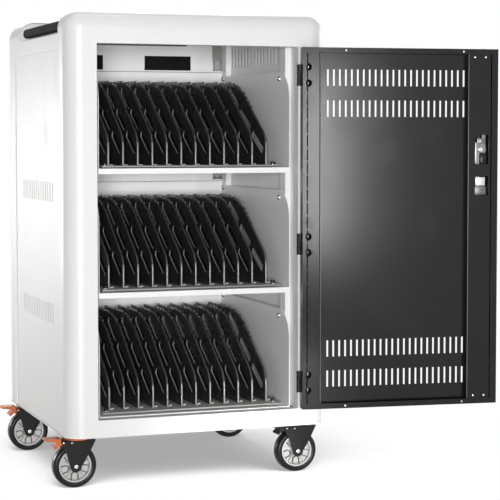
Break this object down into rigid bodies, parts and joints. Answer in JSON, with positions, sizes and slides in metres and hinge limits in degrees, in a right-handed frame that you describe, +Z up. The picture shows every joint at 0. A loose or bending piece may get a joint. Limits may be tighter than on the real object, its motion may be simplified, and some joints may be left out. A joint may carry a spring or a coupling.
{
  "type": "laptop charging cart",
  "caption": "Rounded steel laptop charging cart on braked swivel casters, with bays of upright dividers behind a vented swing-open front door and a rear door to the power compartment.",
  "frame": {"origin": "on the floor under the middle of the overall box of the cart as it stands, front door swung open", "axes": "+Z up, +X to the right of someone facing the front opening, +Y towards the rear door"},
  "size_m": [1.111, 0.7518, 1.13],
  "materials": {
    "enamel_white": "satin powder coat",
    "enamel_side": "satin powder coat",
    "enamel_inner": "satin powder coat",
    "enamel_charcoal": "fine textured powder coat",
    "black_plastic": "moulded, fine grain",
    "black_steel": "black coated steel",
    "zinc": "bright zinc plate",
    "chrome": "polished",
    "orange_plastic": "moulded",
    "hub_grey": "moulded",
    "tyre_black": "moulded rubber"
  },
  "bodies": {
    "cabinet": {"front_frame": "enamel_white", "rear_frame": "enamel_white", "top_cap": "enamel_white", "base_pan": "enamel_side", "left_side_panel": "enamel_side", "right_side_panel": "enamel_side", "left_grip_bar": "black_plastic", "right_grip_bar": "black_plastic", "partition": "enamel_inner", "tray_top": "enamel_inner", "divider_rack_top": "black_plastic", "power_strip_top": "black_plastic", "tray_middle": "enamel_inner", "divider_rack_middle": "black_plastic", "power_strip_middle": "black_plastic", "tray_bottom": "enamel_inner", "divider_rack_bottom": "black_plastic", "power_strip_bottom": "black_plastic", "upright_front_left": "enamel_inner", "upright_front_right": "enamel_inner", "upright_rear_left": "enamel_inner", "upright_rear_right": "enamel_inner", "power_inlet": "black_plastic", "hinge_leaf_top": "black_steel", "hinge_leaf_middle": "black_steel", "hinge_leaf_bottom": "black_steel", "caster_plate_front_left": "black_steel", "caster_plate_front_right": "black_steel", "caster_plate_rear_left": "black_steel", "caster_plate_rear_right": "black_steel"},
    "front_door": {"door_panel": "enamel_charcoal", "door_hinge_channel": "enamel_charcoal", "door_lock_channel": "enamel_charcoal", "door_knuckle_top": "black_steel", "door_knuckle_middle": "black_steel", "door_knuckle_bottom": "black_steel", "handle_escutcheon": "black_plastic"},
    "lock_spindle": {"lock_spindle": "zinc"},
    "swing_handle": {"swing_handle": "black_plastic"},
    "key_cylinder": {"key_cylinder": "chrome"},
    "upper_bolt": {"lock_rod_upper": "zinc"},
    "lower_bolt": {"lock_rod_lower": "zinc"},
    "rear_door": {"rear_door": "enamel_white"},
    "rear_cam_lock": {"rear_cam_lock": "chrome"},
    "swivel_front_left": {"caster_fork_front_left": "black_steel"},
    "wheel_front_left": {"caster_wheel_front_left": "hub_grey", "caster_tyre_front_left": "tyre_black"},
    "brake_front_left": {"caster_brake_front_left": "orange_plastic"},
    "swivel_front_right": {"caster_fork_front_right": "black_steel"},
    "wheel_front_right": {"caster_wheel_front_right": "hub_grey", "caster_tyre_front_right": "tyre_black"},
    "brake_front_right": {"caster_brake_front_right": "orange_plastic"},
    "swivel_rear_left": {"caster_fork_rear_left": "black_steel"},
    "wheel_rear_left": {"caster_wheel_rear_left": "hub_grey", "caster_tyre_rear_left": "tyre_black"},
    "brake_rear_left": {"caster_brake_rear_left": "orange_plastic"},
    "swivel_rear_right": {"caster_fork_rear_right": "black_steel"},
    "wheel_rear_right": {"caster_wheel_rear_right": "hub_grey", "caster_tyre_rear_right": "tyre_black"},
    "brake_rear_right": {"caster_brake_rear_right": "orange_plastic"}
  },
  "joints": [
    {"name": "front_door_hinge", "type": "hinge", "parent": "cabinet", "child": "front_door", "pos_m": [0.06053, -0.28289, 0.613], "axis": [0, 0, 1], "range_deg": [-172.5, 7.5]},
    {"name": "handle_turn", "type": "hinge", "parent": "front_door", "child": "lock_spindle", "pos_m": [0.51482, -0.34875, 0.805], "axis": [-0.1305, -0.9914, 0], "range_deg": [0, 90]},
    {"name": "handle_lift", "type": "hinge", "parent": "lock_spindle", "child": "swing_handle", "pos_m": [0.51761, -0.32758, 0.805], "axis": [0, 0, -1], "range_deg": [0, 35]},
    {"name": "key_turn", "type": "hinge", "parent": "front_door", "child": "key_cylinder", "pos_m": [0.5156, -0.3428, 0.687], "axis": [-0.1305, -0.9914, 0], "range_deg": [0, 90]},
    {"name": "upper_bolt_slide", "type": "slide", "parent": "front_door", "child": "upper_bolt", "axis": [0, 0, 1], "range_m": [0, 0.014]},
    {"name": "lower_bolt_slide", "type": "slide", "parent": "front_door", "child": "lower_bolt", "axis": [0, 0, -1], "range_m": [0, 0.014]},
    {"name": "rear_door_hinge", "type": "hinge", "parent": "cabinet", "child": "rear_door", "pos_m": [0.06053, 0.36811, 0.63], "axis": [0, 0, -1], "range_deg": [0, 110]},
    {"name": "rear_cam_turn", "type": "hinge", "parent": "rear_door", "child": "rear_cam_lock", "pos_m": [-0.42547, 0.35811, 0.63], "axis": [0, 1, 0], "range_deg": [0, 90]},
    {"name": "swivel_front_left", "type": "hinge", "parent": "cabinet", "child": "swivel_front_left", "pos_m": [-0.47447, -0.18889, 0.118], "axis": [0, 0, 1], "continuous": true},
    {"name": "roll_front_left", "type": "hinge", "parent": "swivel_front_left", "child": "wheel_front_left", "pos_m": [-0.48047, -0.18889, 0.053], "axis": [0, 1, 0], "continuous": true},
    {"name": "brake_front_left", "type": "hinge", "parent": "swivel_front_left", "child": "brake_front_left", "pos_m": [-0.50647, -0.18889, 0.107], "axis": [0, -1, 0], "range_deg": [0, 12]},
    {"name": "swivel_front_right", "type": "hinge", "parent": "cabinet", "child": "swivel_front_right", "pos_m": [0.09353, -0.18889, 0.118], "axis": [0, 0, 1], "continuous": true},
    {"name": "roll_front_right", "type": "hinge", "parent": "swivel_front_right", "child": "wheel_front_right", "pos_m": [0.08753, -0.18889, 0.053], "axis": [0, 1, 0], "continuous": true},
    {"name": "brake_front_right", "type": "hinge", "parent": "swivel_front_right", "child": "brake_front_right", "pos_m": [0.06153, -0.18889, 0.107], "axis": [0, -1, 0], "range_deg": [0, 12]},
    {"name": "swivel_rear_left", "type": "hinge", "parent": "cabinet", "child": "swivel_rear_left", "pos_m": [-0.47447, 0.31311, 0.118], "axis": [0, 0, 1], "continuous": true},
    {"name": "roll_rear_left", "type": "hinge", "parent": "swivel_rear_left", "child": "wheel_rear_left", "pos_m": [-0.48047, 0.31311, 0.053], "axis": [0, 1, 0], "continuous": true},
    {"name": "brake_rear_left", "type": "hinge", "parent": "swivel_rear_left", "child": "brake_rear_left", "pos_m": [-0.50647, 0.31311, 0.107], "axis": [0, -1, 0], "range_deg": [0, 12]},
    {"name": "swivel_rear_right", "type": "hinge", "parent": "cabinet", "child": "swivel_rear_right", "pos_m": [0.09353, 0.31311, 0.118], "axis": [0, 0, 1], "continuous": true},
    {"name": "roll_rear_right", "type": "hinge", "parent": "swivel_rear_right", "child": "wheel_rear_right", "pos_m": [0.08753, 0.31311, 0.053], "axis": [0, 1, 0], "continuous": true},
    {"name": "brake_rear_right", "type": "hinge", "parent": "swivel_rear_right", "child": "brake_rear_right", "pos_m": [0.06153, 0.31311, 0.107], "axis": [0, -1, 0], "range_deg": [0, 12]}
  ],
  "couplings": [
    {"joint": "upper_bolt_slide", "follows": "handle_turn", "m_per_rad": 0.0082761},
    {"joint": "lower_bolt_slide", "follows": "handle_turn", "m_per_rad": 0.0082761}
  ]
}
